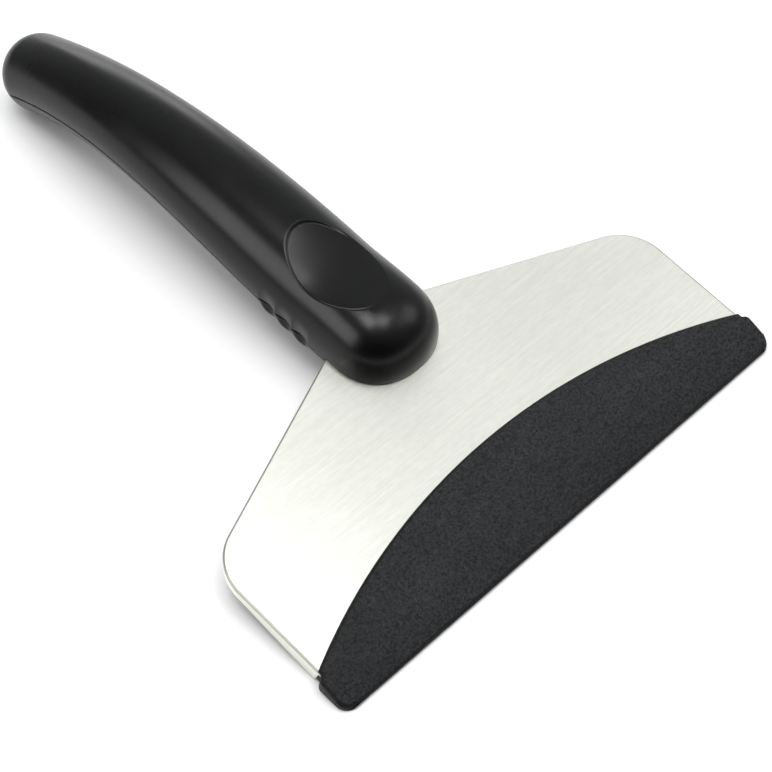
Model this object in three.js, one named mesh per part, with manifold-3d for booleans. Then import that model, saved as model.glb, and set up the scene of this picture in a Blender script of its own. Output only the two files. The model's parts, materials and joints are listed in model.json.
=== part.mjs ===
// Windshield ice scraper: a brushed steel blade plate with a moulded scraping edge on its front,
// and an arched two-shell handle screwed through the plate's tang.
//
// Blade frame, in millimetres: x across the blade, y from the scraping edge towards the handle,
// z up from the plate's top face. The assembly is then tilted so that it rests on the scraping
// edge and on the handle's tail, with the origin below the centre of its bounding box.

import * as THREE from 'three';
import { mergeVertices } from 'three/addons/utils/BufferGeometryUtils.js';
import Module from 'manifold-3d';

const wasm = await Module();
wasm.setup();

// Fits
const GAP = 0.3;

// Blade plate
const BLADE_HALF_WIDTH = 63.7;
const SHEET = 1.0;
const RIM_FRONT_DEPTH = 4.2;
const RIM_REAR_DEPTH = 2.4;
const RIM_TAPER_END_Y = 41.0;
const PLATE_FRONT_Y = 5.5;
const SHOULDER_APEX_Y = 66.0;
const SHOULDER_FALL = 25.3;
const CORNER_RADIUS = 11.8;
const SHOULDER_ANGLE = Math.atan(SHOULDER_FALL / BLADE_HALF_WIDTH);
const RIM_INNER_X = 14.5;

// Tang inside the handle
const TANG_HALF_WIDTH = 7.5;
const TANG_END_Y = 101.0;
const TANG_END_RADIUS = 3.0;

// Scraping edge
const GUARD_HALF_WIDTH = 65.0;
const GUARD_FRONT_RADIUS = 3.0;
const GUARD_REAR_RADIUS = 1.5;
const GUARD_TOP_Z = 1.0;
const GUARD_BOTTOM_Z = -3.3;
const ARCH_APEX_Y = 24.4;
const ARCH_RADIUS = 146.0;
const EDGE_BEVEL_START_Y = 11.0;
const EDGE_TOP = new THREE.Vector2(1.0, -1.2);
const EDGE_TIP = new THREE.Vector2(0.0, -2.2);
const EDGE_REST = new THREE.Vector2(0.4, -3.0);
const EDGE_HEEL_Y = 9.0;
const PEG_RADIUS = 2.0;
const PEGS = [[-36, 12.5], [0, 15], [36, 12.5]];

// Handle
const NOSE_CENTRE_Y = 58.8;
const NOSE_RADIUS = 12.9;
const TAIL_CENTRE_Y = 169.9;
const TAIL_HALF_WIDTH = 9.4;
const TAIL_CAP_LENGTH = 8.2;
const TAPER_START_Y = 75.5;
const TAPER_END_Y = 171.5;
const CROWN_RATIO = 0.98;
const BELLY_DEPTH = 9.3;
const BEND_START_Y = 78.5;
const TAIL_DROP = 18.1;
const WALL = 2.2;
const OUTER_FACETS = { sides: 32, stations: 18, capSteps: 6 };
const INNER_FACETS = { sides: 20, stations: 9, capSteps: 3 };

// Thumb recess, and finger ribs on the lower shell with a scoop above each
const THUMB_CENTRE_Y = 71.1;
const THUMB_HALF_LENGTH = 13.0;
const THUMB_HALF_WIDTH = 8.5;
const THUMB_DEPTH = 0.8;
const RIB_FIRST_Y = 69.0;
const RIB_PITCH = 5.1;
const RIB_COUNT = 3;
const RIB_HALF_LENGTH = 2.1;
const RIB_PROUD = 0.5;
const SCOOP_RADIUS = 2.6;
const SCOOP_DEPTH = 0.5;
const SCOOP_TOP_Z = 2.5;

// Screws and their bosses
const SHANK_RADIUS = 1.45;
const HEAD_RADIUS = 2.8;
const HEAD_HEIGHT = 2.0;
const SCREW_LENGTH = 10.0;
const RECESS_LENGTH = 3.2;
const RECESS_WIDTH = 0.7;
const RECESS_DEPTH = 1.1;
const SCREW_HOLE_RADIUS = SHANK_RADIUS + GAP;
const COUNTERBORE_RADIUS = HEAD_RADIUS + 0.4;
const BOSS_RADIUS = 3.6;
const SHELF = 3.0;
const SCREWS = [
  { name: 'front_tang_screw', y: 60.0 },
  { name: 'rear_tang_screw', y: 92.0 },
  { name: 'tail_screw', y: 147.0 },
];

// Height of the handle's centreline: level over the tang, then falling as a cube towards the tail.
function centreline(y) {
  const t = Math.max(0, (y - BEND_START_Y) / (TAIL_CENTRE_Y - BEND_START_Y));
  return -TAIL_DROP * t ** 3;
}

function centrelineSlope(y) {
  const step = 0.01;
  return (centreline(y + step) - centreline(y - step)) / (2 * step);
}

function halfWidth(y) {
  const t = THREE.MathUtils.smoothstep(y, TAPER_START_Y, TAPER_END_Y);
  return THREE.MathUtils.lerp(NOSE_RADIUS, TAIL_HALF_WIDTH, t);
}

// Closed solid from any closed three.js geometry.
function toSolid(geometry) {
  const bare = new THREE.BufferGeometry();
  bare.setAttribute('position', geometry.getAttribute('position').clone());
  bare.setIndex(geometry.getIndex());
  const merged = mergeVertices(bare, 1e-4);
  const index = merged.getIndex().array;
  const triVerts = [];
  for (let i = 0; i < index.length; i += 3) {
    const [a, b, c] = [index[i], index[i + 1], index[i + 2]];
    if (a !== b && b !== c && c !== a) triVerts.push(a, b, c);
  }
  const vertProperties = merged.getAttribute('position').array;
  const mesh = new wasm.Mesh({ numProp: 3, vertProperties, triVerts: new Uint32Array(triVerts) });
  return new wasm.Manifold(mesh);
}

function toMesh(name, solid, material) {
  const { vertProperties, triVerts } = solid.getMesh();
  const geometry = new THREE.BufferGeometry();
  geometry.setAttribute('position', new THREE.BufferAttribute(vertProperties, 3));
  geometry.setIndex(new THREE.BufferAttribute(triVerts, 1));
  geometry.computeVertexNormals();
  const mesh = new THREE.Mesh(geometry, material);
  mesh.name = name;
  return mesh;
}

// Outline in the x-y plane, filled from z = low to z = high.
function flatSolid(shape, low, high, curveSegments = 12) {
  const geometry = new THREE.ExtrudeGeometry(shape, {
    depth: high - low,
    bevelEnabled: false,
    curveSegments,
  });
  geometry.translate(0, 0, low);
  return toSolid(geometry);
}

// Side profile in the y-z plane, filled across x to both sides of the middle.
function sideSolid(points, halfSpan) {
  const geometry = new THREE.ExtrudeGeometry(new THREE.Shape(points), {
    depth: 2 * halfSpan,
    bevelEnabled: false,
  });
  geometry.translate(0, 0, -halfSpan);
  const shapeToSide = new THREE.Matrix4().makeBasis(
    new THREE.Vector3(0, 1, 0),
    new THREE.Vector3(0, 0, 1),
    new THREE.Vector3(1, 0, 0),
  );
  geometry.applyMatrix4(shapeToSide);
  return toSolid(geometry);
}

// Upright cylinder between two heights.
function post(radius, x, y, low, high, sides = 16) {
  const geometry = new THREE.CylinderGeometry(radius, radius, high - low, sides);
  geometry.rotateX(Math.PI / 2);
  geometry.translate(x, y, (low + high) / 2);
  return toSolid(geometry);
}

// Plate outline, grown or shrunk by an inset, with its tang.
function plateShape(inset) {
  const side = BLADE_HALF_WIDTH - inset;
  const front = PLATE_FRONT_Y + inset;
  const tang = TANG_HALF_WIDTH - inset;
  const tangEnd = TANG_END_Y - inset;
  const tangRadius = TANG_END_RADIUS - inset;
  const slope = Math.tan(SHOULDER_ANGLE);
  const apex = SHOULDER_APEX_Y - inset / Math.cos(SHOULDER_ANGLE);
  const cornerX = BLADE_HALF_WIDTH - CORNER_RADIUS;
  const cornerY = SHOULDER_APEX_Y - slope * cornerX - CORNER_RADIUS / Math.cos(SHOULDER_ANGLE);
  const shoulderNormal = Math.PI / 2 - SHOULDER_ANGLE;
  const shape = new THREE.Shape();
  shape.moveTo(-side, front);
  shape.lineTo(side, front);
  shape.absarc(cornerX, cornerY, CORNER_RADIUS - inset, 0, shoulderNormal);
  shape.lineTo(tang, apex - slope * tang);
  shape.absarc(tang - tangRadius, tangEnd - tangRadius, tangRadius, 0, Math.PI / 2);
  shape.absarc(tangRadius - tang, tangEnd - tangRadius, tangRadius, Math.PI / 2, Math.PI);
  shape.lineTo(-tang, apex - slope * tang);
  shape.absarc(-cornerX, cornerY, CORNER_RADIUS - inset, Math.PI - shoulderNormal, Math.PI);
  return shape;
}

// Crescent outline of the scraping edge, grown by a margin.
function guardShape(margin) {
  const side = GUARD_HALF_WIDTH + margin;
  const front = EDGE_TIP.x - margin;
  const frontRadius = GUARD_FRONT_RADIUS + margin;
  const rearRadius = GUARD_REAR_RADIUS + margin;
  const archRadius = ARCH_RADIUS + margin;
  const archY = ARCH_APEX_Y - ARCH_RADIUS;
  const rearX = side - rearRadius;
  const rearY = archY + Math.sqrt((archRadius - rearRadius) ** 2 - rearX ** 2);
  const blend = Math.atan2(rearY - archY, rearX);
  const shape = new THREE.Shape();
  shape.absarc(frontRadius - side, front + frontRadius, frontRadius, Math.PI, 1.5 * Math.PI);
  shape.absarc(side - frontRadius, front + frontRadius, frontRadius, 1.5 * Math.PI, 2 * Math.PI);
  shape.absarc(rearX, rearY, rearRadius, 0, blend);
  shape.absarc(0, archY, archRadius, blend, Math.PI - blend);
  shape.absarc(-rearX, rearY, rearRadius, Math.PI - blend, Math.PI);
  return shape;
}

// Steel sheet with a rim turned down along its sides, corners and shoulders, deepest at the front.
function bladePlate() {
  const low = -RIM_FRONT_DEPTH - 1;
  const sheet = flatSolid(plateShape(0), -SHEET, 0);
  const rimBlank = flatSolid(plateShape(0), low, -SHEET / 2);
  const rimInside = flatSolid(plateShape(SHEET), low - 1, 0);
  const underGuard = flatSolid(guardShape(GAP), low - 1, 1);
  const handleRoom = flatSolid(rectangle(-RIM_INNER_X, RIM_INNER_X, 30, 120), low - 1, 1);
  const rimProfile = [
    new THREE.Vector2(0, 1),
    new THREE.Vector2(0, -RIM_FRONT_DEPTH),
    new THREE.Vector2(ARCH_APEX_Y / 2, -RIM_FRONT_DEPTH),
    new THREE.Vector2(RIM_TAPER_END_Y, -RIM_REAR_DEPTH),
    new THREE.Vector2(TANG_END_Y, -RIM_REAR_DEPTH),
    new THREE.Vector2(TANG_END_Y, 1),
  ];
  const rimDepth = sideSolid(rimProfile, BLADE_HALF_WIDTH + 1);
  const rim = rimBlank.intersect(rimDepth).subtract(rimInside).subtract(underGuard);
  let plate = sheet.add(rim.subtract(handleRoom));
  for (const [x, y] of PEGS) {
    plate = plate.subtract(post(PEG_RADIUS + GAP, x, y, -SHEET - 1, 1));
  }
  for (const { y } of SCREWS.filter((screw) => screw.y < TANG_END_Y)) {
    plate = plate.subtract(post(SCREW_HOLE_RADIUS, 0, y, -SHEET - 1, 1));
  }
  return plate;
}

function rectangle(x0, x1, y0, y1) {
  const shape = new THREE.Shape();
  shape.moveTo(x0, y0);
  shape.lineTo(x1, y0);
  shape.lineTo(x1, y1);
  shape.lineTo(x0, y1);
  return shape;
}

// Wedge section of the scraping edge, crowned on top, from its tip back past the arch.
function edgeSection() {
  const back = ARCH_APEX_Y + 5;
  const crown = new THREE.QuadraticBezierCurve(
    new THREE.Vector2(EDGE_BEVEL_START_Y, GUARD_TOP_Z),
    new THREE.Vector2(EDGE_BEVEL_START_Y / 2, GUARD_TOP_Z),
    EDGE_TOP,
  );
  return [
    new THREE.Vector2(back, GUARD_BOTTOM_Z),
    new THREE.Vector2(back, GUARD_TOP_Z),
    ...crown.getPoints(5),
    EDGE_TIP,
    EDGE_REST,
    new THREE.Vector2(EDGE_HEEL_Y, GUARD_BOTTOM_Z),
  ];
}

// Moulded crescent with a slot for the plate's front margin and pegs through the plate.
function edgeGuard() {
  const crescent = flatSolid(guardShape(0), GUARD_BOTTOM_Z - 1, GUARD_TOP_Z + 1);
  const slot = flatSolid(plateShape(-GAP), -SHEET - GAP, GAP);
  let guard = crescent.intersect(sideSolid(edgeSection(), GUARD_HALF_WIDTH + 1)).subtract(slot);
  for (const [x, y] of PEGS) {
    guard = guard.add(post(PEG_RADIUS, x, y, -SHEET - GAP - 0.5, GAP + 0.5));
  }
  return guard;
}

// Whole handle as one bent, tapered body, shrunk by an inset for the hollow inside.
function handleBody(inset, { sides, stations, capSteps }) {
  const profile = [];
  for (let i = 0; i < capSteps; i += 1) {
    const angle = (Math.PI / 2) * (i / capSteps);
    const length = NOSE_RADIUS - inset;
    profile.push(new THREE.Vector2(Math.sin(angle), NOSE_CENTRE_Y - length * Math.cos(angle)));
  }
  for (let i = 0; i <= stations; i += 1) {
    const y = THREE.MathUtils.lerp(NOSE_CENTRE_Y, TAIL_CENTRE_Y, i / stations);
    profile.push(new THREE.Vector2(1, y));
  }
  for (let i = 1; i <= capSteps; i += 1) {
    const angle = (Math.PI / 2) * (i / capSteps);
    const length = TAIL_CAP_LENGTH - inset;
    const radius = i < capSteps ? Math.cos(angle) : 0;
    profile.push(new THREE.Vector2(radius, TAIL_CENTRE_Y + length * Math.sin(angle)));
  }
  const geometry = new THREE.LatheGeometry(profile, sides);
  const position = geometry.getAttribute('position');
  for (let i = 0; i < position.count; i += 1) {
    const y = position.getY(i);
    const section = THREE.MathUtils.clamp(y, NOSE_CENTRE_Y, TAIL_CENTRE_Y);
    const across = halfWidth(section) - inset;
    const up = halfWidth(section) * CROWN_RATIO - inset;
    const down = BELLY_DEPTH - inset;
    const height = position.getZ(i) * (position.getZ(i) > 0 ? up : down);
    const tilt = Math.atan(centrelineSlope(section));
    const beyond = y - section;
    position.setXYZ(
      i,
      position.getX(i) * across,
      section + beyond * Math.cos(tilt) - height * Math.sin(tilt),
      centreline(section) + beyond * Math.sin(tilt) + height * Math.cos(tilt),
    );
  }
  return toSolid(geometry);
}

// Space above or below the parting surface, which follows the centreline at plate level.
function partingSpace(offset, farZ) {
  const points = [];
  const start = NOSE_CENTRE_Y - 2 * NOSE_RADIUS;
  const end = TAIL_CENTRE_Y + 2 * TAIL_CAP_LENGTH;
  for (let i = 0; i <= OUTER_FACETS.stations; i += 1) {
    const y = THREE.MathUtils.lerp(start, end, i / OUTER_FACETS.stations);
    points.push(new THREE.Vector2(y, centreline(y) + offset));
  }
  points.push(new THREE.Vector2(end, farZ));
  points.push(new THREE.Vector2(start, farZ));
  return sideSolid(points, 2 * NOSE_RADIUS);
}

function ribCentres() {
  return Array.from({ length: RIB_COUNT }, (_, i) => RIB_FIRST_Y + i * RIB_PITCH);
}

// Scoops on both sides of the upper shell, one above each finger rib.
function cutScoops(shell) {
  let cut = shell;
  for (const y of ribCentres()) {
    const x = halfWidth(y) + SCOOP_RADIUS - SCOOP_DEPTH;
    for (const side of [-1, 1]) {
      cut = cut.subtract(post(SCOOP_RADIUS, side * x, y, -BELLY_DEPTH, SCOOP_TOP_Z));
    }
  }
  return cut;
}

// Raised bands round the belly for the fingers.
function fingerRibs() {
  const skin = handleBody(-RIB_PROUD, OUTER_FACETS).subtract(handleBody(WALL / 2, OUTER_FACETS));
  const bands = ribCentres().map((y) => {
    const span = 2 * NOSE_RADIUS;
    const band = rectangle(-span, span, y - RIB_HALF_LENGTH, y + RIB_HALF_LENGTH);
    return flatSolid(band, -2 * BELLY_DEPTH, 0);
  });
  return bands.reduce((all, band) => all.add(band)).intersect(skin);
}

// Top half: domed nose on the plate, thumb recess, and screw bosses down to the tang.
function handleUpperShell() {
  const body = handleBody(0, OUTER_FACETS);
  const space = partingSpace(-SHEET, 40);
  let shell = body.subtract(handleBody(WALL, INNER_FACETS));
  for (const { y } of SCREWS) {
    shell = shell.add(post(BOSS_RADIUS, 0, y, -40, 40).intersect(body));
  }
  shell = shell.intersect(space);
  for (const { y } of SCREWS) {
    const seat = screwSeat(y);
    shell = shell.subtract(post(SCREW_HOLE_RADIUS, 0, y, seat - 1, seat + SCREW_LENGTH + 1));
  }
  const plateRoom = flatSolid(plateShape(-GAP), -SHEET - 1, GAP);
  return cutScoops(shell).subtract(plateRoom).subtract(thumbRecess());
}

// Bottom half: bosses with counterbored holes for the screw heads.
function handleLowerShell() {
  const body = handleBody(0, OUTER_FACETS);
  const space = partingSpace(-SHEET - GAP, -40);
  let shell = body.subtract(handleBody(WALL, INNER_FACETS)).add(fingerRibs());
  for (const { y } of SCREWS) {
    shell = shell.add(post(BOSS_RADIUS + 1, 0, y, -40, 40).intersect(body));
  }
  shell = shell.intersect(space);
  for (const { y } of SCREWS) {
    const seat = screwSeat(y);
    shell = shell.subtract(post(SCREW_HOLE_RADIUS, 0, y, seat - 1, seat + SCREW_LENGTH));
    shell = shell.subtract(post(COUNTERBORE_RADIUS, 0, y, -40, seat));
  }
  return shell;
}

// Height of the face that a screw head bears on.
function screwSeat(y) {
  return centreline(y) - SHEET - SHELF;
}

// Oval sunk below the crown of the handle by an even depth.
function thumbRecess() {
  const oval = new THREE.Shape();
  oval.absellipse(0, THUMB_CENTRE_Y, THUMB_HALF_WIDTH, THUMB_HALF_LENGTH, 0, 2 * Math.PI);
  return flatSolid(oval, 4, 2 * NOSE_RADIUS, 20).subtract(handleBody(THUMB_DEPTH, OUTER_FACETS));
}

// Self-tapping screw, head down, with a cross recess.
function tappingScrew(y) {
  const bearing = screwSeat(y) - GAP;
  const crown = bearing - HEAD_HEIGHT;
  const point = bearing + SCREW_LENGTH;
  const profile = [
    new THREE.Vector2(0, crown),
    new THREE.Vector2(HEAD_RADIUS * 0.65, crown),
    new THREE.Vector2(HEAD_RADIUS, bearing - HEAD_HEIGHT * 0.5),
    new THREE.Vector2(HEAD_RADIUS, bearing),
    new THREE.Vector2(SHANK_RADIUS, bearing),
    new THREE.Vector2(SHANK_RADIUS, point - 2 * SHANK_RADIUS),
    new THREE.Vector2(0, point),
  ];
  const turned = new THREE.LatheGeometry(profile, 16);
  turned.rotateX(Math.PI / 2);
  turned.translate(0, y, 0);
  let body = toSolid(turned);
  for (const [length, width] of [[RECESS_LENGTH, RECESS_WIDTH], [RECESS_WIDTH, RECESS_LENGTH]]) {
    const slot = new THREE.BoxGeometry(length, width, 2 * RECESS_DEPTH);
    slot.translate(0, y, crown);
    body = body.subtract(toSolid(slot));
  }
  return body;
}

function plastic(color, roughness) {
  return new THREE.MeshStandardMaterial({ color, roughness, metalness: 0 });
}

function steel(color, roughness) {
  return new THREE.MeshStandardMaterial({ color, roughness, metalness: 1 });
}

// Smallest tilt that brings the handle's tail down to the level of the scraping edge.
function restingTilt(mesh) {
  const position = mesh.geometry.getAttribute('position');
  let tilt = 0;
  for (let i = 0; i < position.count; i += 1) {
    const run = position.getY(i) - EDGE_REST.x;
    const fall = EDGE_REST.y - position.getZ(i);
    tilt = run > NOSE_CENTRE_Y ? Math.max(tilt, Math.atan2(fall, run)) : tilt;
  }
  return tilt;
}

const blackPlastic = plastic(0x17181a, 0.35);
const grainedPlastic = plastic(0x2f3134, 0.7);
const brushedSteel = steel(0xd9d9d2, 0.35);
const screwSteel = steel(0xb4b4b4, 0.4);

const lowerShell = toMesh('handle_lower_shell', handleLowerShell(), blackPlastic);
const assembly = new THREE.Group();
assembly.add(
  toMesh('blade_plate', bladePlate(), brushedSteel),
  toMesh('edge_guard', edgeGuard(), grainedPlastic),
  toMesh('handle_upper_shell', handleUpperShell(), blackPlastic.clone()),
  lowerShell,
  ...SCREWS.map(({ name, y }) => toMesh(name, tappingScrew(y), screwSteel.clone())),
);
assembly.rotation.x = restingTilt(lowerShell);

const scraper = new THREE.Group();
scraper.name = 'ice_scraper';
scraper.add(assembly);
scraper.updateMatrixWorld(true);
const box = new THREE.Box3().setFromObject(scraper, true);
assembly.position.set(0, -(box.min.y + box.max.y) / 2, -box.min.z);

export default scraper;
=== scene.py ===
"""Windshield ice scraper: brushed steel blade, moulded scraping edge and two-shell handle."""
import json
import math

import bmesh
import bpy
import numpy as np
from mathutils import Matrix, Vector


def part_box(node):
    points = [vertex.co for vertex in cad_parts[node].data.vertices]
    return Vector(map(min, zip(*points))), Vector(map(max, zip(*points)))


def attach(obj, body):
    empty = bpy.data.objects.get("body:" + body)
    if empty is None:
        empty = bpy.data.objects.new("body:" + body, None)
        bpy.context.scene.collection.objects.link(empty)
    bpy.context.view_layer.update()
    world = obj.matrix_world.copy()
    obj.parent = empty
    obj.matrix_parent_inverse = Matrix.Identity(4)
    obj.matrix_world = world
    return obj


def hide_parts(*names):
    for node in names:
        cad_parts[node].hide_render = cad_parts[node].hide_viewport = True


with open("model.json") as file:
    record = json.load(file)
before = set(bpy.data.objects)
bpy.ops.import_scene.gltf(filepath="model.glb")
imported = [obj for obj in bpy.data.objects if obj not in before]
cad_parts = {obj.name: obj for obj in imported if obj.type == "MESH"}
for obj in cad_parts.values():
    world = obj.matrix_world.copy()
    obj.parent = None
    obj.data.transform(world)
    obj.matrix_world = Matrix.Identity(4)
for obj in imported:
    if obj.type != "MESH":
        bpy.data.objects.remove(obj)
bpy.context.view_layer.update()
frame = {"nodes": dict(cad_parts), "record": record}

# All pieces are drawn in the blade frame, in millimetres: x across the blade, y from the scraping
# edge towards the handle, z up from the plate's top face. BLADE takes that frame to the CAD frame.
MM = 0.001
FACE_Y = 36.0
face = frame["record"]["mounts"][0]
tilt = math.atan2(-face["axis"][1], face["axis"][2])
BLADE = (
    Matrix.Translation(face["pos_m"])
    @ Matrix.Rotation(tilt, 4, "X")
    @ Matrix.Translation((0, -FACE_Y * MM, 0))
    @ Matrix.Scale(MM, 4)
)

# Blade plate
BLADE_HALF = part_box("blade_plate")[1].x / MM
SHEET = 1.0
PLATE_FRONT = 5.5
SHOULDER_APEX = 66.0
SHOULDER_FALL = 25.3
CORNER_RADIUS = 11.8
RIM_FRONT_DEPTH = 4.2
RIM_REAR_DEPTH = 2.4
RIM_TAPER = (10.0, 41.0)
RIM_INNER_X = 14.5
RIM_WALL = 1.0
PLATE_ROUND = 0.7
RIM_FOOT_ROUND = 0.3
PLATE_SPACING = 0.8
CUTTER_SPACING = 4.0
TANG_HALF = 7.5
TANG_END = 101.0
TANG_RADIUS = 3.0

# Scraping edge
GUARD_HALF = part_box("edge_guard")[1].x / MM
GUARD_FRONT_RADIUS = 3.0
GUARD_REAR_RADIUS = 1.5
GUARD_TAB_Y = 8.7
GUARD_TOP = 1.0
GUARD_BOTTOM = -3.3
ARCH_APEX = 24.4
ARCH_RADIUS = 146.0
CROWN_START = 11.0
EDGE_TOP = (0.6, -1.45)
EDGE_TIP = (0.0, -2.2)
EDGE_REST = (0.4, -3.0)
EDGE_HEEL = 9.0
EDGE_BLUNT = 0.06
EDGE_WEDGE_POWER = 1.7
EDGE_BEVEL_POWER = 0.7
EDGE_LIP_POWER = 0.5
GUARD_ROUND = 1.0
GUARD_UNDER_ROUND = 0.3
GUARD_END = 3.2
GUARD_COLUMNS = 240
GUARD_END_COLUMNS = 46
GUARD_ROWS = (64, 2.3)
SLOT_GAP = 0.1

# Handle
NOSE_Y = 58.8
NOSE_RADIUS = 12.9
NOSE_FULLNESS = 0.35
NOSE_SQUARENESS = 2.3
NOSE_BLEND = 16.0
TAIL_Y = 169.9
TAIL_HALF = 9.4
TAIL_CAP = 8.2
TAPER = (75.5, 171.5)
CROWN_RATIO = 0.98
BELLY = 9.26
BEND_START = 78.5
TAIL_DROP = 18.1
PLATE_ROOM = 0.12
UPPER_LIP = -1.0
LOWER_LIP = -1.25
UPPER_COLUMNS = (280, 0.7)
LOWER_COLUMNS = (130, 1.5)
LIP_ROUND = 0.3

# Thumb recess, finger ribs and the scoops above them
THUMB_CENTRE = (-0.7, 71.4)
THUMB_HALF = (8.1, 13.0)
THUMB_STEP = 0.45
THUMB_STEP_WIDTH = 0.7
THUMB_STEP_FADED = 0.15
THUMB_STEP_FADE = (-1.2, 0.2)
THUMB_DISH = 1.7
RIB_FIRST = 69.0
RIB_PITCH = 5.1
RIB_COUNT = 3
RIB_PROUD = 0.5
RIB_SWELL = 1.9
RIB_UNDERCUT = 0.1
RIB_DIP = 0.6
SCOOP_DEPTH = 0.55
SCOOP_FADE = (0.3, 5.0)

# Screws: place along the handle, and sizes
SCREW_PLACES = {"front_tang_screw": 60.0, "rear_tang_screw": 92.0, "tail_screw": 147.0}
SHELF = 3.0
SHANK_RADIUS = 1.45
HEAD_RADIUS = 2.8
HEAD_HEIGHT = 2.0
SCREW_LENGTH = 10.0
THREAD_PITCH = 1.1
THREAD_DEPTH = 0.3
THREAD_POINTS = 40
THREAD_STEP = 0.11
POINT_LENGTH = 2.2
POINT_RATIO = 0.35
HEAD_SIDE = 0.5
HEAD_CHAMFER = 0.12
RECESS_LENGTH = 3.2
RECESS_WIDTH = 0.7
RECESS_DEPTH = 1.1
COUNTERBORE_RADIUS = 3.2
SCREW_HOLE_RADIUS = 1.75
HEAD_CLEARANCE = 0.3


def smoothstep(low, high, value):
    t = np.clip((np.asarray(value, float) - low) / (high - low), 0, 1)
    return t * t * (3 - 2 * t)


def round_drop(distance, radius):
    """How far a rounded edge falls away at a distance in from the edge."""
    reach = np.clip(radius - distance, 0, radius)
    return radius - np.sqrt(radius**2 - reach**2)


# ---------------------------------------------------------------- meshes


def new_object(name, verts, faces):
    mesh = bpy.data.meshes.new(name)
    mesh.from_pydata([tuple(v) for v in verts], [], faces)
    obj = bpy.data.objects.new(name, mesh)
    bpy.context.scene.collection.objects.link(obj)
    weld(obj)
    return obj


def weld(obj, distance=1e-3):
    bm = bmesh.new()
    bm.from_mesh(obj.data)
    bmesh.ops.remove_doubles(bm, verts=bm.verts, dist=distance)
    bmesh.ops.dissolve_degenerate(bm, edges=bm.edges, dist=distance)
    bmesh.ops.recalc_face_normals(bm, faces=bm.faces)
    bm.to_mesh(obj.data)
    bm.free()


def loft(name, rings):
    """A closed body through rings of equal point counts, with its two ends closed."""
    rings = np.asarray(rings, float)
    count, size = rings.shape[:2]
    faces = []
    for i in range(count - 1):
        a = i * size
        b = a + size
        for j in range(size):
            k = (j + 1) % size
            faces.append((a + j, a + k, b + k, b + j))
    faces.append(tuple(reversed(range(size))))
    faces.append(tuple(range((count - 1) * size, count * size)))
    return new_object(name, rings.reshape(-1, 3), faces)


def apply_modifiers(obj):
    graph = bpy.context.evaluated_depsgraph_get()
    mesh = bpy.data.meshes.new_from_object(obj.evaluated_get(graph))
    obj.modifiers.clear()
    obj.data = mesh


def boolean(obj, tool, operation="DIFFERENCE"):
    """Cuts obj with another body, or joins them. The other body is used up."""
    modifier = obj.modifiers.new("boolean", "BOOLEAN")
    modifier.operation = operation
    modifier.solver = "MANIFOLD"
    modifier.object = tool
    apply_modifiers(obj)
    bpy.data.objects.remove(tool)


def turned(name, profile, centre, segments=48):
    """A body turned about the upright line at centre, from (radius, z) points."""
    angles = np.linspace(0, 2 * math.pi, segments, endpoint=False)
    rings = [
        [(centre[0] + r * math.cos(t), centre[1] + r * math.sin(t), z) for t in angles]
        for r, z in profile
    ]
    return loft(name, rings)


def block(name, low, high):
    xs, ys, zs = zip(low, high)
    ring = [(xs[0], ys[0]), (xs[1], ys[0]), (xs[1], ys[1]), (xs[0], ys[1])]
    return loft(name, [[(x, y, z) for x, y in ring] for z in zs])


# ---------------------------------------------------------------- outlines


def arc(centre, radius, start, end, steps):
    angles = np.radians(np.linspace(start, end, steps + 1))
    return [(centre[0] + radius * math.cos(t), centre[1] + radius * math.sin(t)) for t in angles]


def subdivide(points, spacing):
    """The closed outline with its long sides divided evenly."""
    result = []
    for a, b in zip(points, points[1:] + points[:1]):
        length = math.dist(a, b)
        steps = max(1, round(length / spacing))
        for k in range(steps):
            t = k / steps
            result.append((a[0] + (b[0] - a[0]) * t, a[1] + (b[1] - a[1]) * t))
    return result


def plate_half(grow):
    """The right half of the plate's outline, from the front corner to the end of the tang."""
    slope = SHOULDER_FALL / BLADE_HALF
    angle = math.degrees(math.atan(slope))
    side = BLADE_HALF + grow
    radius = CORNER_RADIUS + grow
    apex = SHOULDER_APEX + grow / math.cos(math.radians(angle))
    corner_x = side - radius
    corner_y = apex - slope * corner_x - radius / math.cos(math.radians(angle))
    tang = TANG_HALF + grow
    tip = TANG_RADIUS + grow
    points = [(side, PLATE_FRONT - grow)]
    points += arc((corner_x, corner_y), radius, 0, 90 - angle, 28)
    points.append((tang, apex - slope * tang))
    points += arc((TANG_HALF - TANG_RADIUS, TANG_END - TANG_RADIUS), tip, 0, 90, 8)
    return points


def plate_outline(grow, spacing):
    right = plate_half(grow)
    left = [(-x, y) for x, y in reversed(right)]
    return subdivide(right + left, spacing)


def inset(points, distance):
    """A closed outline moved in by a distance, mitred at its corners."""
    pts = np.asarray(points, float)
    before = pts - np.roll(pts, 1, 0)
    after = np.roll(pts, -1, 0) - pts
    before /= np.linalg.norm(before, axis=1, keepdims=True)
    after /= np.linalg.norm(after, axis=1, keepdims=True)
    inward_before = np.stack([-before[:, 1], before[:, 0]], 1)
    inward_after = np.stack([-after[:, 1], after[:, 0]], 1)
    bisector = inward_before + inward_after
    scale = 2 / np.maximum(np.sum(bisector**2, axis=1), 0.5)
    return pts + bisector * (scale * distance)[:, None]


def plate_body(name, grow, low, high):
    outline = plate_outline(grow, CUTTER_SPACING)
    return loft(name, [[(x, y, z) for x, y in outline] for z in (low, high)])


# ---------------------------------------------------------------- blade plate


def rim_depth(points):
    """Depth of the plate's edge below its top face, at each point of the outline."""
    x, y = np.abs(points[:, 0]), points[:, 1]
    depth = RIM_FRONT_DEPTH + (RIM_REAR_DEPTH - RIM_FRONT_DEPTH) * smoothstep(*RIM_TAPER, y)
    present = (y > RIM_TAPER[0]) & (x > RIM_INNER_X)
    return np.where(present, depth, SHEET)


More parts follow.
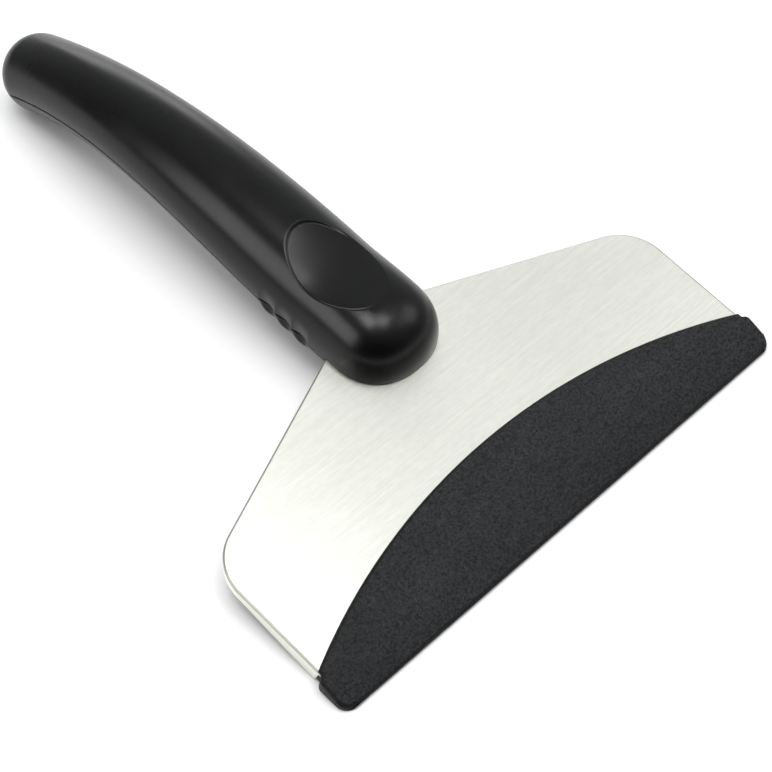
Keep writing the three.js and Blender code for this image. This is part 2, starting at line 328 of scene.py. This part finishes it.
def build_plate():
    """Flat sheet with a rounded top edge and a turned-down rim that tapers from front to rear."""
    outline = np.array(plate_outline(0, PLATE_SPACING))
    depth = rim_depth(outline)
    rings = []
    for angle in np.radians(np.linspace(0, 90, 7)):
        moved = inset(outline, PLATE_ROUND * (1 - math.sin(angle)))
        height = np.full(len(outline), -PLATE_ROUND * (1 - math.cos(angle)))
        rings.append(np.column_stack([moved, height]))
    for angle in np.radians(np.linspace(0, 90, 4)):
        moved = inset(outline, RIM_FOOT_ROUND * (1 - math.cos(angle)))
        height = -depth + RIM_FOOT_ROUND * (1 - math.sin(angle))
        rings.append(np.column_stack([moved, height]))
    inner = inset(outline, RIM_WALL)
    rings.append(np.column_stack([inner, -depth]))
    sheet = np.full(len(outline), -SHEET)
    rings.append(np.column_stack([inset(outline, RIM_WALL + 0.02), sheet]))
    return loft("blade", rings)


# ---------------------------------------------------------------- scraping edge


def arch_y(x):
    return ARCH_APEX - ARCH_RADIUS + np.sqrt(ARCH_RADIUS**2 - np.asarray(x, float) ** 2)


def guard_front(x):
    reach = np.clip(np.abs(x) - (GUARD_HALF - GUARD_FRONT_RADIUS), 0, GUARD_FRONT_RADIUS)
    return GUARD_FRONT_RADIUS - np.sqrt(GUARD_FRONT_RADIUS**2 - reach**2)


def guard_rear(x):
    """Arch over the plate, and outside it a short tab with a rounded corner."""
    reach = np.clip(np.abs(x) - (GUARD_HALF - GUARD_REAR_RADIUS), 0, GUARD_REAR_RADIUS)
    tab = GUARD_TAB_Y - GUARD_REAR_RADIUS + np.sqrt(GUARD_REAR_RADIUS**2 - reach**2)
    over_plate = 1 - smoothstep(BLADE_HALF - 0.05, BLADE_HALF + 0.15, np.abs(x))
    return tab + (arch_y(x) - tab) * over_plate


def guard_crown(y):
    """Height of the top face: flat behind, falling in a soft wedge to the scraping edge."""
    t = np.clip((y - EDGE_TOP[0]) / (CROWN_START - EDGE_TOP[0]), 0, 1)
    wedge = EDGE_TOP[1] + (GUARD_TOP - EDGE_TOP[1]) * (1 - (1 - t) ** EDGE_WEDGE_POWER)
    rise = np.clip(y / EDGE_TOP[0], 0, 1) ** EDGE_BEVEL_POWER
    bevel = EDGE_TIP[1] + (EDGE_TOP[1] - EDGE_TIP[1]) * rise
    return np.where(y < EDGE_TOP[0], bevel, wedge)


def guard_under(y):
    """Height of the underside: a lip behind the scraping edge, then a slope down to the heel."""
    fall = np.clip(y / EDGE_REST[0], 0, 1) ** EDGE_LIP_POWER
    lip = EDGE_TIP[1] + (EDGE_REST[1] - EDGE_TIP[1]) * fall
    heel = (GUARD_BOTTOM - EDGE_REST[1]) * smoothstep(EDGE_REST[0], EDGE_HEEL, y)
    return lip + heel


def outline_distance(points, outline):
    """Distance from each point to a finely sampled outline."""
    nearest = np.full(len(points), 1e9)
    for start in range(0, len(outline), 64):
        part = outline[start : start + 64]
        gap = np.hypot(points[:, None, 0] - part[None, :, 0], points[:, None, 1] - part[None, :, 1])
        nearest = np.minimum(nearest, gap.min(1))
    return nearest


def clustered(count, pull):
    """0 to 1 in even steps, drawn towards both ends."""
    t = np.linspace(-1, 1, count)
    return (np.tanh(t * pull) / np.tanh(pull) + 1) / 2


def build_guard():
    """Crescent with rounded edges and a slot that the plate sits in."""
    inner = np.linspace(-GUARD_HALF + GUARD_END, GUARD_HALF - GUARD_END, GUARD_COLUMNS)
    corner = GUARD_HALF - GUARD_END * (1 - np.linspace(0, 1, GUARD_END_COLUMNS) ** 0.6)[1:]
    xs = np.concatenate([-corner[::-1], inner, corner])
    ts = clustered(*GUARD_ROWS)
    front, rear = guard_front(xs), guard_rear(xs)
    ys = front[:, None] + (rear - front)[:, None] * ts[None, :]
    flat = np.column_stack([np.repeat(xs, len(ts)), ys.ravel()])
    fine = np.linspace(-GUARD_HALF, GUARD_HALF, 5200)
    side = np.linspace(GUARD_FRONT_RADIUS, GUARD_TAB_Y - GUARD_REAR_RADIUS, 120)
    rounded = [
        np.column_stack([fine, guard_rear(fine)]),
        np.column_stack([np.full_like(side, GUARD_HALF), side]),
        np.column_stack([np.full_like(side, -GUARD_HALF), side]),
    ]
    corners = fine[np.abs(fine) > GUARD_HALF - GUARD_FRONT_RADIUS]
    rounded.append(np.column_stack([corners, guard_front(corners)]))
    distance = outline_distance(flat, np.concatenate(rounded))
    top = guard_crown(flat[:, 1]) - round_drop(distance, GUARD_ROUND)
    under = guard_under(flat[:, 1]) + round_drop(distance, GUARD_UNDER_ROUND)
    top = np.maximum(top, under + EDGE_BLUNT)
    upper = np.column_stack([flat, top])
    lower = np.column_stack([flat, under])
    columns, rows = len(xs), len(ts)
    count = columns * rows
    faces = []
    for i in range(columns - 1):
        for j in range(rows - 1):
            a = i * rows + j
            faces.append((a, a + rows, a + rows + 1, a + 1))
            faces.append((count + a, count + a + 1, count + a + rows + 1, count + a + rows))
        for j in (0, rows - 1):
            a = i * rows + j
            wall = (a, a + rows, count + a + rows, count + a)
            faces.append(wall if j else wall[::-1])
    for j in range(rows - 1):
        for i in (0, columns - 1):
            a = i * rows + j
            wall = (a, a + 1, count + a + 1, count + a)
            faces.append(wall if not i else wall[::-1])
    guard = new_object("scraping_edge", np.concatenate([upper, lower]), faces)
    boolean(guard, plate_body("slot", SLOT_GAP, -SHEET - SLOT_GAP, SLOT_GAP))
    return guard


# ---------------------------------------------------------------- handle shells


def bend(y):
    return np.maximum(0, (y - BEND_START) / (TAIL_Y - BEND_START))


def centreline(y):
    return -TAIL_DROP * bend(y) ** 3


def stations():
    """(place along the handle, reach beyond it, size factor) of each section, nose to tail."""
    nose = np.radians(90 * (np.arange(41) / 40) ** 1.6)
    tail = np.radians(90 * (np.arange(25) / 24) ** 1.6)[::-1]
    front = np.arange(NOSE_Y, 100, 0.25)[1:]
    rear = np.arange(100, TAIL_Y, 0.8)
    power = 2 / NOSE_SQUARENESS
    rows = [(NOSE_Y, -NOSE_RADIUS * math.cos(a) ** power, math.sin(a) ** power) for a in nose]
    rows += [(y, 0, 1) for y in np.concatenate([front, rear])]
    rows += [(TAIL_Y, TAIL_CAP * math.cos(a), math.sin(a)) for a in tail]
    return np.array(rows)


def handle_grid(angles_of):
    """Points, outward normals and section heights of a shell, one row for each station."""
    rows = stations()
    place, beyond, factor = rows[:, 0:1], rows[:, 1:2], rows[:, 2:3]
    half = NOSE_RADIUS + (TAIL_HALF - NOSE_RADIUS) * smoothstep(*TAPER, place)
    angle = angles_of(factor)
    crown = np.where(np.sin(angle) > 0, half * CROWN_RATIO, BELLY)
    nose = 1 - smoothstep(NOSE_Y, NOSE_Y + NOSE_BLEND, place + beyond)
    full = 2 + NOSE_FULLNESS * nose * (np.sin(angle) > 0)
    round_to = (np.abs(np.cos(angle)) ** full + np.abs(np.sin(angle)) ** full) ** (-1 / full)
    across = half * factor * np.cos(angle) * round_to
    height = crown * factor * np.sin(angle) * round_to
    slope = -np.arctan(3 * TAIL_DROP / (TAIL_Y - BEND_START) * bend(place) ** 2)
    cap = np.where(beyond < 0, NOSE_RADIUS, TAIL_CAP)
    normal = np.stack([across / half**2, beyond / cap**2 + 0 * across, height / crown**2], -1)
    normal /= np.linalg.norm(normal, axis=-1, keepdims=True) + 1e-9
    return place, beyond, across, height, slope, normal


def place_grid(place, beyond, across, height, slope, shift):
    """Section coordinates, moved by shift, to the blade frame."""
    a = across + shift[..., 0]
    b = beyond + shift[..., 1]
    h = height + shift[..., 2]
    y = place + b * np.cos(slope) - h * np.sin(slope)
    z = centreline(place) + b * np.sin(slope) + h * np.cos(slope)
    return np.stack([a, y, z], -1)


def finger_arcs(y, width):
    """1 at the middle of each finger place, 0 outside it."""
    result = np.zeros_like(y)
    for k in range(RIB_COUNT):
        offset = (y - RIB_FIRST - k * RIB_PITCH) / (width / 2)
        result = np.maximum(result, np.clip(1 - offset**2, 0, 1))
    return result


def upper_angles(factor):
    low = np.arcsin(np.minimum(1, -UPPER_LIP / np.maximum(BELLY * factor, 1e-6)))
    t = clustered(*UPPER_COLUMNS)[None, :]
    return -low + (math.pi + 2 * low) * t


def lower_angles(factor):
    low = np.arcsin(np.minimum(1, -LOWER_LIP / np.maximum(BELLY * factor, 1e-6)))
    t = clustered(*LOWER_COLUMNS)[None, :]
    return math.pi + low + (math.pi - 2 * low) * t


def build_upper():
    """Upper shell, with its thumb recess, its scoops and the room for the plate."""
    place, beyond, across, height, slope, normal = handle_grid(upper_angles)
    along = place + beyond + 0 * across
    x_part = (across - THUMB_CENTRE[0]) / THUMB_HALF[0]
    y_part = (along - THUMB_CENTRE[1]) / THUMB_HALF[1]
    ellipse = np.hypot(x_part, y_part)
    steepness = np.hypot(x_part / THUMB_HALF[0], y_part / THUMB_HALF[1]) + 1e-9
    edge_distance = (1 - ellipse) * ellipse / steepness
    above = height > 0
    crispness = smoothstep(*THUMB_STEP_FADE, y_part - x_part)
    crisp = THUMB_STEP_FADED + (1 - THUMB_STEP_FADED) * crispness
    reach = THUMB_STEP_WIDTH / 2
    step = crisp * THUMB_STEP * smoothstep(-reach, reach, edge_distance)
    dish = THUMB_DISH * np.clip(1 - ellipse**2, 0, 1)
    thumb = np.where(above, step + dish, 0)
    over_lip = height - UPPER_LIP
    fade = 1 - smoothstep(*SCOOP_FADE, over_lip)
    scoop = SCOOP_DEPTH * finger_arcs(along, RIB_PITCH) * fade
    inward = scoop + round_drop(over_lip, LIP_ROUND)
    shift = -normal * inward[..., None]
    shift[..., 2] -= thumb
    shell = loft("handle_top", place_grid(place, beyond, across, height, slope, shift))
    boolean(shell, plate_body("room", PLATE_ROOM, -SHEET - 1, PLATE_ROOM))
    mask_recess(shell)
    return shell


def build_lower():
    """Lower shell, with its finger ribs and its counterbored screw holes."""
    place, beyond, across, height, slope, normal = handle_grid(lower_angles)
    along = place + beyond + 0 * across
    under_lip = LOWER_LIP - height
    swell = smoothstep(0, RIB_SWELL, under_lip)
    rib = RIB_PROUD * swell - (SCOOP_DEPTH + RIB_UNDERCUT) * (1 - swell)
    arcs = finger_arcs(along, RIB_PITCH)
    outward = rib * arcs - round_drop(under_lip, LIP_ROUND)
    shift = normal * outward[..., None]
    shift[..., 2] -= RIB_DIP * arcs * (1 - swell)
    grid = place_grid(place, beyond, across, height, slope, shift)
    present = BELLY * stations()[:, 2] > -LOWER_LIP
    shell = loft("handle_underside", grid[present])
    for y in SCREW_PLACES.values():
        seat = float(centreline(y)) - SHEET - SHELF
        below = seat - BELLY - 5
        bore = [(SCREW_HOLE_RADIUS, seat - 1), (SCREW_HOLE_RADIUS, 5)]
        well = [(COUNTERBORE_RADIUS, below), (COUNTERBORE_RADIUS, seat)]
        boolean(shell, turned("bore", bore, (0, y)))
        boolean(shell, turned("well", well, (0, y)))
    return shell


# ---------------------------------------------------------------- screws


def build_screw(name, y):
    """Pan head pointing down with a cross recess, and a threaded shank with a blunt point."""
    seat = float(centreline(y)) - SHEET - SHELF - HEAD_CLEARANCE
    low = seat - HEAD_HEIGHT
    profile = [(0, low)]
    for t in np.linspace(0.15, 1, 10):
        angle = t * math.pi / 2
        rise = (HEAD_HEIGHT - HEAD_SIDE) * (1 - math.cos(angle))
        profile.append((HEAD_RADIUS * math.sin(angle) ** 0.7, low + rise))
    profile.append((HEAD_RADIUS, seat - HEAD_CHAMFER))
    profile.append((HEAD_RADIUS - HEAD_CHAMFER, seat))
    profile.append((SHANK_RADIUS, seat))
    head = turned(name, profile + [(0, seat)], (0, y), 64)
    turns = np.linspace(0, 2 * math.pi, THREAD_POINTS, endpoint=False)
    rings = []
    for z in np.arange(seat - 0.2, seat + SCREW_LENGTH, THREAD_STEP):
        rise = z - seat
        point = smoothstep(SCREW_LENGTH, SCREW_LENGTH - POINT_LENGTH, rise)
        phase = (rise / THREAD_PITCH - turns / (2 * math.pi)) % 1
        crest = np.abs(2 * phase - 1) ** 2.5
        full = SHANK_RADIUS - THREAD_DEPTH + THREAD_DEPTH * crest
        radius = full * (POINT_RATIO + (1 - POINT_RATIO) * point)
        height = np.full(THREAD_POINTS, z)
        rings.append(np.column_stack([radius * np.cos(turns), y + radius * np.sin(turns), height]))
    boolean(head, loft("thread", rings), "UNION")
    length, width = RECESS_LENGTH / 2, RECESS_WIDTH / 2
    for half_x, half_y in ((length, width), (width, length)):
        start = (-half_x, y - half_y, low - 1)
        boolean(head, block("arm", start, (half_x, y + half_y, low + RECESS_DEPTH)))
    return head


# ---------------------------------------------------------------- materials

BRUSH_MAP = "across_the_brushing"
# Direction that the guard's painted shade treats as lit: surfaces facing away from it are darkened.
PAINTED_LIGHT_FACING = (0, -0.3, 0.954)
# Normal slant where the steel's painted dark reflection on its rounded edges is strongest.
PAINTED_REFLECTION_SLANT = 0.6
RECESS_MASK = "in_the_thumb_recess"


def mask_recess(obj):
    """1 on the floor of the thumb recess, 0 elsewhere. Call it in the blade frame."""
    layer = obj.data.attributes.new(RECESS_MASK, "FLOAT", "POINT")
    for vertex, value in zip(obj.data.vertices, layer.data):
        x, y, z = vertex.co
        x_part = (x - THUMB_CENTRE[0]) / THUMB_HALF[0]
        y_part = (y - THUMB_CENTRE[1]) / THUMB_HALF[1]
        inside = float(smoothstep(1.0, 0.9, math.hypot(x_part, y_part)))
        value.value = inside if z > 0 else 0.0


def map_brushing(obj):
    """A UV map whose first axis runs square to the plate's brushed grooves."""
    layer = obj.data.uv_layers.new(name=BRUSH_MAP)
    for loop in obj.data.loops:
        place = obj.data.vertices[loop.vertex_index].co
        layer.data[loop.index].uv = (place.y, -place.x)


class Graph:
    """A short way of writing a material's nodes."""

    def __init__(self, name):
        self.material = bpy.data.materials.new(name)
        self.material.use_nodes = True
        self.nodes = self.material.node_tree.nodes
        self.links = self.material.node_tree.links
        self.shader = self.nodes["Principled BSDF"]
        self.place = self.nodes.new("ShaderNodeTexCoord").outputs["Object"]

    def add(self, kind, settings=None, **inputs):
        node = self.nodes.new(kind)
        for key, value in (settings or {}).items():
            setattr(node, key, value)
        for key, value in inputs.items():
            socket = node.inputs[key.replace("_", " ")]
            if isinstance(value, bpy.types.NodeSocket):
                self.links.new(value, socket)
            else:
                socket.default_value = value
        return node

    def noise(self, size, stretch=(1, 1, 1), detail=3, roughness=0.55):
        """Noise whose features are about size metres, stretched along the axes."""
        scale = tuple(1 / s for s in stretch)
        mapping = self.add("ShaderNodeMapping", Vector=self.place, Scale=scale)
        node = self.add(
            "ShaderNodeTexNoise",
            Vector=mapping.outputs[0],
            Scale=1 / size,
            Detail=detail,
            Roughness=roughness,
        )
        return node.outputs["Fac"]

    def spread(self, value, low, high, from_low=0.25, from_high=0.75):
        node = self.add("ShaderNodeMapRange", Value=value)
        node.inputs["From Min"].default_value = from_low
        node.inputs["From Max"].default_value = from_high
        node.inputs["To Min"].default_value = low
        node.inputs["To Max"].default_value = high
        return node.outputs["Result"]

    def shade(self, value, low, high, from_low=0.25, from_high=0.75):
        node = self.add("ShaderNodeMapRange", {"data_type": "FLOAT_VECTOR"})
        for key, numbers in (
            ("From Min", (from_low,) * 3),
            ("From Max", (from_high,) * 3),
            ("To Min", low),
            ("To Max", high),
        ):
            socket = [s for s in node.inputs if s.name == key and s.type == "VECTOR"][0]
            socket.default_value = numbers
        vector = [s for s in node.inputs if s.name == "Vector"][0]
        self.links.new(value, vector)
        return [s for s in node.outputs if s.name == "Vector"][0]

    def bump(self, height, distance, strength=1.0, under=None):
        node = self.add("ShaderNodeBump", Height=height, Distance=distance, Strength=strength)
        if under is not None:
            self.links.new(under, node.inputs["Normal"])
        return node.outputs["Normal"]

    def facing(self, direction):
        """How far the surface faces a fixed direction: 1 is straight at it."""
        node = self.add("ShaderNodeVectorMath", {"operation": "DOT_PRODUCT"})
        normal = self.nodes.new("ShaderNodeNewGeometry").outputs["Normal"]
        self.links.new(normal, node.inputs[0])
        node.inputs[1].default_value = direction
        return node.outputs["Value"]

    def distance(self, value, middle):
        """How far a value is from the middle one, either way."""
        apart = self.add("ShaderNodeMath", {"operation": "SUBTRACT"})
        self.links.new(value, apart.inputs[0])
        apart.inputs[1].default_value = middle
        size = self.add("ShaderNodeMath", {"operation": "ABSOLUTE"})
        self.links.new(apart.outputs[0], size.inputs[0])
        return size.outputs[0]

    def darken(self, tone, amount, from_low, from_high, least):
        """The tone times a factor that rises from least to 1 as amount goes from low to high."""
        factor = self.spread(amount, least, 1.0, from_low, from_high)
        node = self.add("ShaderNodeVectorMath", {"operation": "SCALE"}, Scale=factor)
        self.links.new(tone, node.inputs[0])
        return node.outputs["Vector"]

    def wire(self, **sockets):
        for key, value in sockets.items():
            socket = self.shader.inputs[key.replace("_", " ")]
            if isinstance(value, bpy.types.NodeSocket):
                self.links.new(value, socket)
            else:
                socket.default_value = value
        return self.material


def brushed_steel():
    """Steel brushed across the blade, with a painted dark reflection along its rounded edges."""
    g = Graph("brushed_plate_steel")
    fine = g.noise(0.00022, (60, 1, 1), 2)
    streak = g.noise(0.00045, (32, 1, 1), 3)
    cloud = g.noise(0.03, (1.5, 1, 1), 3)
    mottle = g.noise(0.0007, (3, 1, 1), 4)
    brushed = g.shade(streak, (0.815, 0.82, 0.755), (0.905, 0.91, 0.84))
    mottled = g.darken(brushed, mottle, 0.35, 0.65, 0.95)
    # Painted dark reflection: the steel is darkened where its normal leans well away from straight
    # up, so along its rounded edges.
    slant = g.distance(g.facing((0, 0, 1)), PAINTED_REFLECTION_SLANT)
    tone = g.darken(mottled, slant, 0.33, 0.385, 0.45)
    normal = g.bump(fine, 0.00001, 0.4, g.bump(streak, 0.00001, 0.4))
    rough = g.spread(cloud, 0.37, 0.43)
    grooves = g.add("ShaderNodeTangent", {"direction_type": "UV_MAP", "uv_map": BRUSH_MAP})
    return g.wire(
        Base_Color=tone,
        Metallic=1.0,
        Roughness=rough,
        Anisotropic=0.7,
        Tangent=grooves.outputs["Tangent"],
        Normal=normal,
    )


def zinc_steel():
    g = Graph("zinc_screw_steel")
    grain = g.noise(0.0004, detail=4)
    tone = g.shade(grain, (0.5, 0.5, 0.5), (0.68, 0.67, 0.64))
    rough = g.spread(grain, 0.28, 0.42)
    normal = g.bump(grain, 0.00001, 0.4)
    return g.wire(Base_Color=tone, Metallic=1.0, Roughness=rough, Normal=normal)


def handle_plastic():
    g = Graph("satin_black_plastic")
    cloud = g.noise(0.012, detail=4)
    fine = g.noise(0.0006, detail=3)
    tone = g.shade(cloud, (0.0007, 0.0007, 0.0008), (0.0012, 0.0012, 0.0014))
    recess = g.add("ShaderNodeAttribute", {"attribute_name": RECESS_MASK}).outputs["Fac"]
    matte = g.spread(recess, 0.0, 0.05, 0, 1)
    rough = g.add("ShaderNodeMath", {"operation": "ADD"})
    g.links.new(g.spread(cloud, 0.25, 0.31), rough.inputs[0])
    g.links.new(matte, rough.inputs[1])
    normal = g.bump(fine, 0.00001, 0.25)
    rough = rough.outputs["Value"]
    return g.wire(Base_Color=tone, Roughness=rough, Specular_IOR_Level=0.26, Normal=normal)


def grained_plastic():
    """Grained plastic; painted shade makes it darker round its rounded edges and where it turns
    away from the front-top.
    """
    g = Graph("grained_charcoal_plastic")
    grain = g.noise(0.00055, detail=3, roughness=0.65)
    cloud = g.noise(0.016, (2, 1, 1), 4)
    grained = g.shade(grain, (0.0002, 0.0002, 0.0003), (0.0145, 0.0154, 0.0173), 0.36, 0.66)
    clouded = g.darken(grained, cloud, 0.3, 0.7, 0.6)
    # Painted shade: darkens the plastic where its surface turns away from the front-top direction,
    # so on its rounded edges and rear slopes.
    tone = g.darken(clouded, g.facing(PAINTED_LIGHT_FACING), 0.86, 0.96, 0.05)
    rough = g.spread(grain, 0.6, 0.4, 0.35, 0.65)
    normal = g.bump(grain, 0.0003, 1.0)
    return g.wire(Base_Color=tone, Roughness=rough, Specular_IOR_Level=0.22, Normal=normal)


def pale_floor():
    g = Graph("pale_floor")
    cloud = g.noise(0.4, detail=2)
    tone = g.shade(cloud, (0.46, 0.46, 0.46), (0.48, 0.48, 0.48))
    return g.wire(Base_Color=tone, Roughness=0.9)


# ---------------------------------------------------------------- assembly


def settle(obj, material, node):
    """Takes a finished piece to the CAD frame and gives it its finish and its place in the part."""
    obj.data.transform(BLADE)
    obj.data.materials.clear()
    obj.data.materials.append(material)
    obj.data.shade_smooth()
    weighted = obj.modifiers.new("normals", "WEIGHTED_NORMAL")
    weighted.keep_sharp = True
    obj.data.set_sharp_from_angle(angle=math.radians(38))
    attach(obj, "root")
    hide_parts(node)


steel = brushed_steel()
zinc = zinc_steel()
black = handle_plastic()
charcoal = grained_plastic()

blade = build_plate()
settle(blade, steel, "blade_plate")
map_brushing(blade)
settle(build_guard(), charcoal, "edge_guard")
settle(build_upper(), black, "handle_upper_shell")
settle(build_lower(), black, "handle_lower_shell")
for node, y in SCREW_PLACES.items():
    settle(build_screw(node + "_turned", y), zinc, node)

node_finish = {
    "blade_plate": steel,
    "edge_guard": charcoal,
    "handle_upper_shell": black,
    "handle_lower_shell": black,
}
for name, node in frame["nodes"].items():
    node.data.materials.clear()
    node.data.materials.append(node_finish.get(name, zinc))

# ---------------------------------------------------------------- stage, light and camera

FLOOR = 6.0
floor_corners = [(-FLOOR, -FLOOR, 0), (FLOOR, -FLOOR, 0), (FLOOR, FLOOR, 0), (-FLOOR, FLOOR, 0)]
floor_mesh = bpy.data.meshes.new("floor")
floor_mesh.from_pydata(floor_corners, [], [(0, 1, 2, 3)])
floor = bpy.data.objects.new("floor", floor_mesh)
bpy.context.scene.collection.objects.link(floor)
floor_mesh.materials.append(pale_floor())

AIM = Vector((0, -0.03, 0.012))
ROOM_BRIGHT_SIDE = (0.7, 0.3, 0.65)
ROOM_DARK = 0.03
ROOM_BRIGHT = 0.65


def softbox(name, direction, distance, size, radiance, glossy=True):
    """A square light facing the object, with the given radiance."""
    light = bpy.data.lights.new(name, "AREA")
    light.shape = "RECTANGLE"
    light.size, light.size_y = size
    light.energy = radiance * math.pi * size[0] * size[1]
    obj = bpy.data.objects.new(name, light)
    bpy.context.scene.collection.objects.link(obj)
    away = Vector(direction).normalized()
    obj.location = AIM + away * distance
    obj.rotation_euler = away.to_track_quat("Z", "Y").to_euler()
    obj.visible_glossy = glossy


softbox("left_softbox", (-0.82, 0.32, 0.46), 1.3, (0.75, 0.8), 4.7)
softbox("back_right_softbox", (0.66, 0.74, 0.15), 1.4, (0.7, 0.4), 2.6)
softbox("front_right_softbox", (0.64, -0.42, 0.64), 1.3, (0.6, 0.55), 2.5)
softbox("middle_softbox", (0.14, -0.22, 0.96), 1.3, (0.38, 0.38), 9.5)
softbox("small_top_light", (-0.17, 0.03, 0.98), 1.3, (0.44, 0.44), 10.5)
softbox("overhead_wash", (0.1, 0.2, 0.97), 2.0, (3.2, 3.2), 3.0, glossy=False)

world = bpy.data.worlds.new("studio")
bpy.context.scene.world = world
world.use_nodes = True
sky = world.node_tree.nodes
sky_links = world.node_tree.links
direction = sky.new("ShaderNodeTexCoord").outputs["Generated"]
toward = sky.new("ShaderNodeVectorMath")
toward.operation = "DOT_PRODUCT"
toward.inputs[1].default_value = ROOM_BRIGHT_SIDE
sky_links.new(direction, toward.inputs[0])
fade = sky.new("ShaderNodeMapRange")
fade.inputs["From Min"].default_value = -0.2
fade.inputs["From Max"].default_value = 0.9
fade.inputs["To Min"].default_value = ROOM_DARK
fade.inputs["To Max"].default_value = ROOM_BRIGHT
sky_links.new(toward.outputs["Value"], fade.inputs["Value"])
sky_links.new(fade.outputs["Result"], sky["Background"].inputs["Strength"])
sky["Background"].inputs["Color"].default_value = (0.97, 0.99, 1.0, 1)

CAMERA_AIM = Vector((-0.0107, -0.0455, 0.015))
CAMERA_DISTANCE = 0.46
CAMERA_AZIMUTH = math.radians(-44.93)
CAMERA_ELEVATION = math.radians(52.91)
CAMERA_ROLL = math.radians(0.17)
back = Vector(
    (
        math.sin(CAMERA_AZIMUTH) * math.cos(CAMERA_ELEVATION),
        -math.cos(CAMERA_AZIMUTH) * math.cos(CAMERA_ELEVATION),
        math.sin(CAMERA_ELEVATION),
    )
)
camera_data = bpy.data.cameras.new("camera")
camera_data.lens = 103.2
camera_data.sensor_width = 36
camera_data.clip_start = 0.01
camera = bpy.data.objects.new("camera", camera_data)
bpy.context.scene.collection.objects.link(camera)
camera.matrix_world = (
    Matrix.Translation(CAMERA_AIM + back * CAMERA_DISTANCE)
    @ back.to_track_quat("Z", "Y").to_matrix().to_4x4()
    @ Matrix.Rotation(CAMERA_ROLL, 4, "Z")
)
bpy.context.scene.camera = camera
bpy.context.scene.view_settings.view_transform = "Standard"
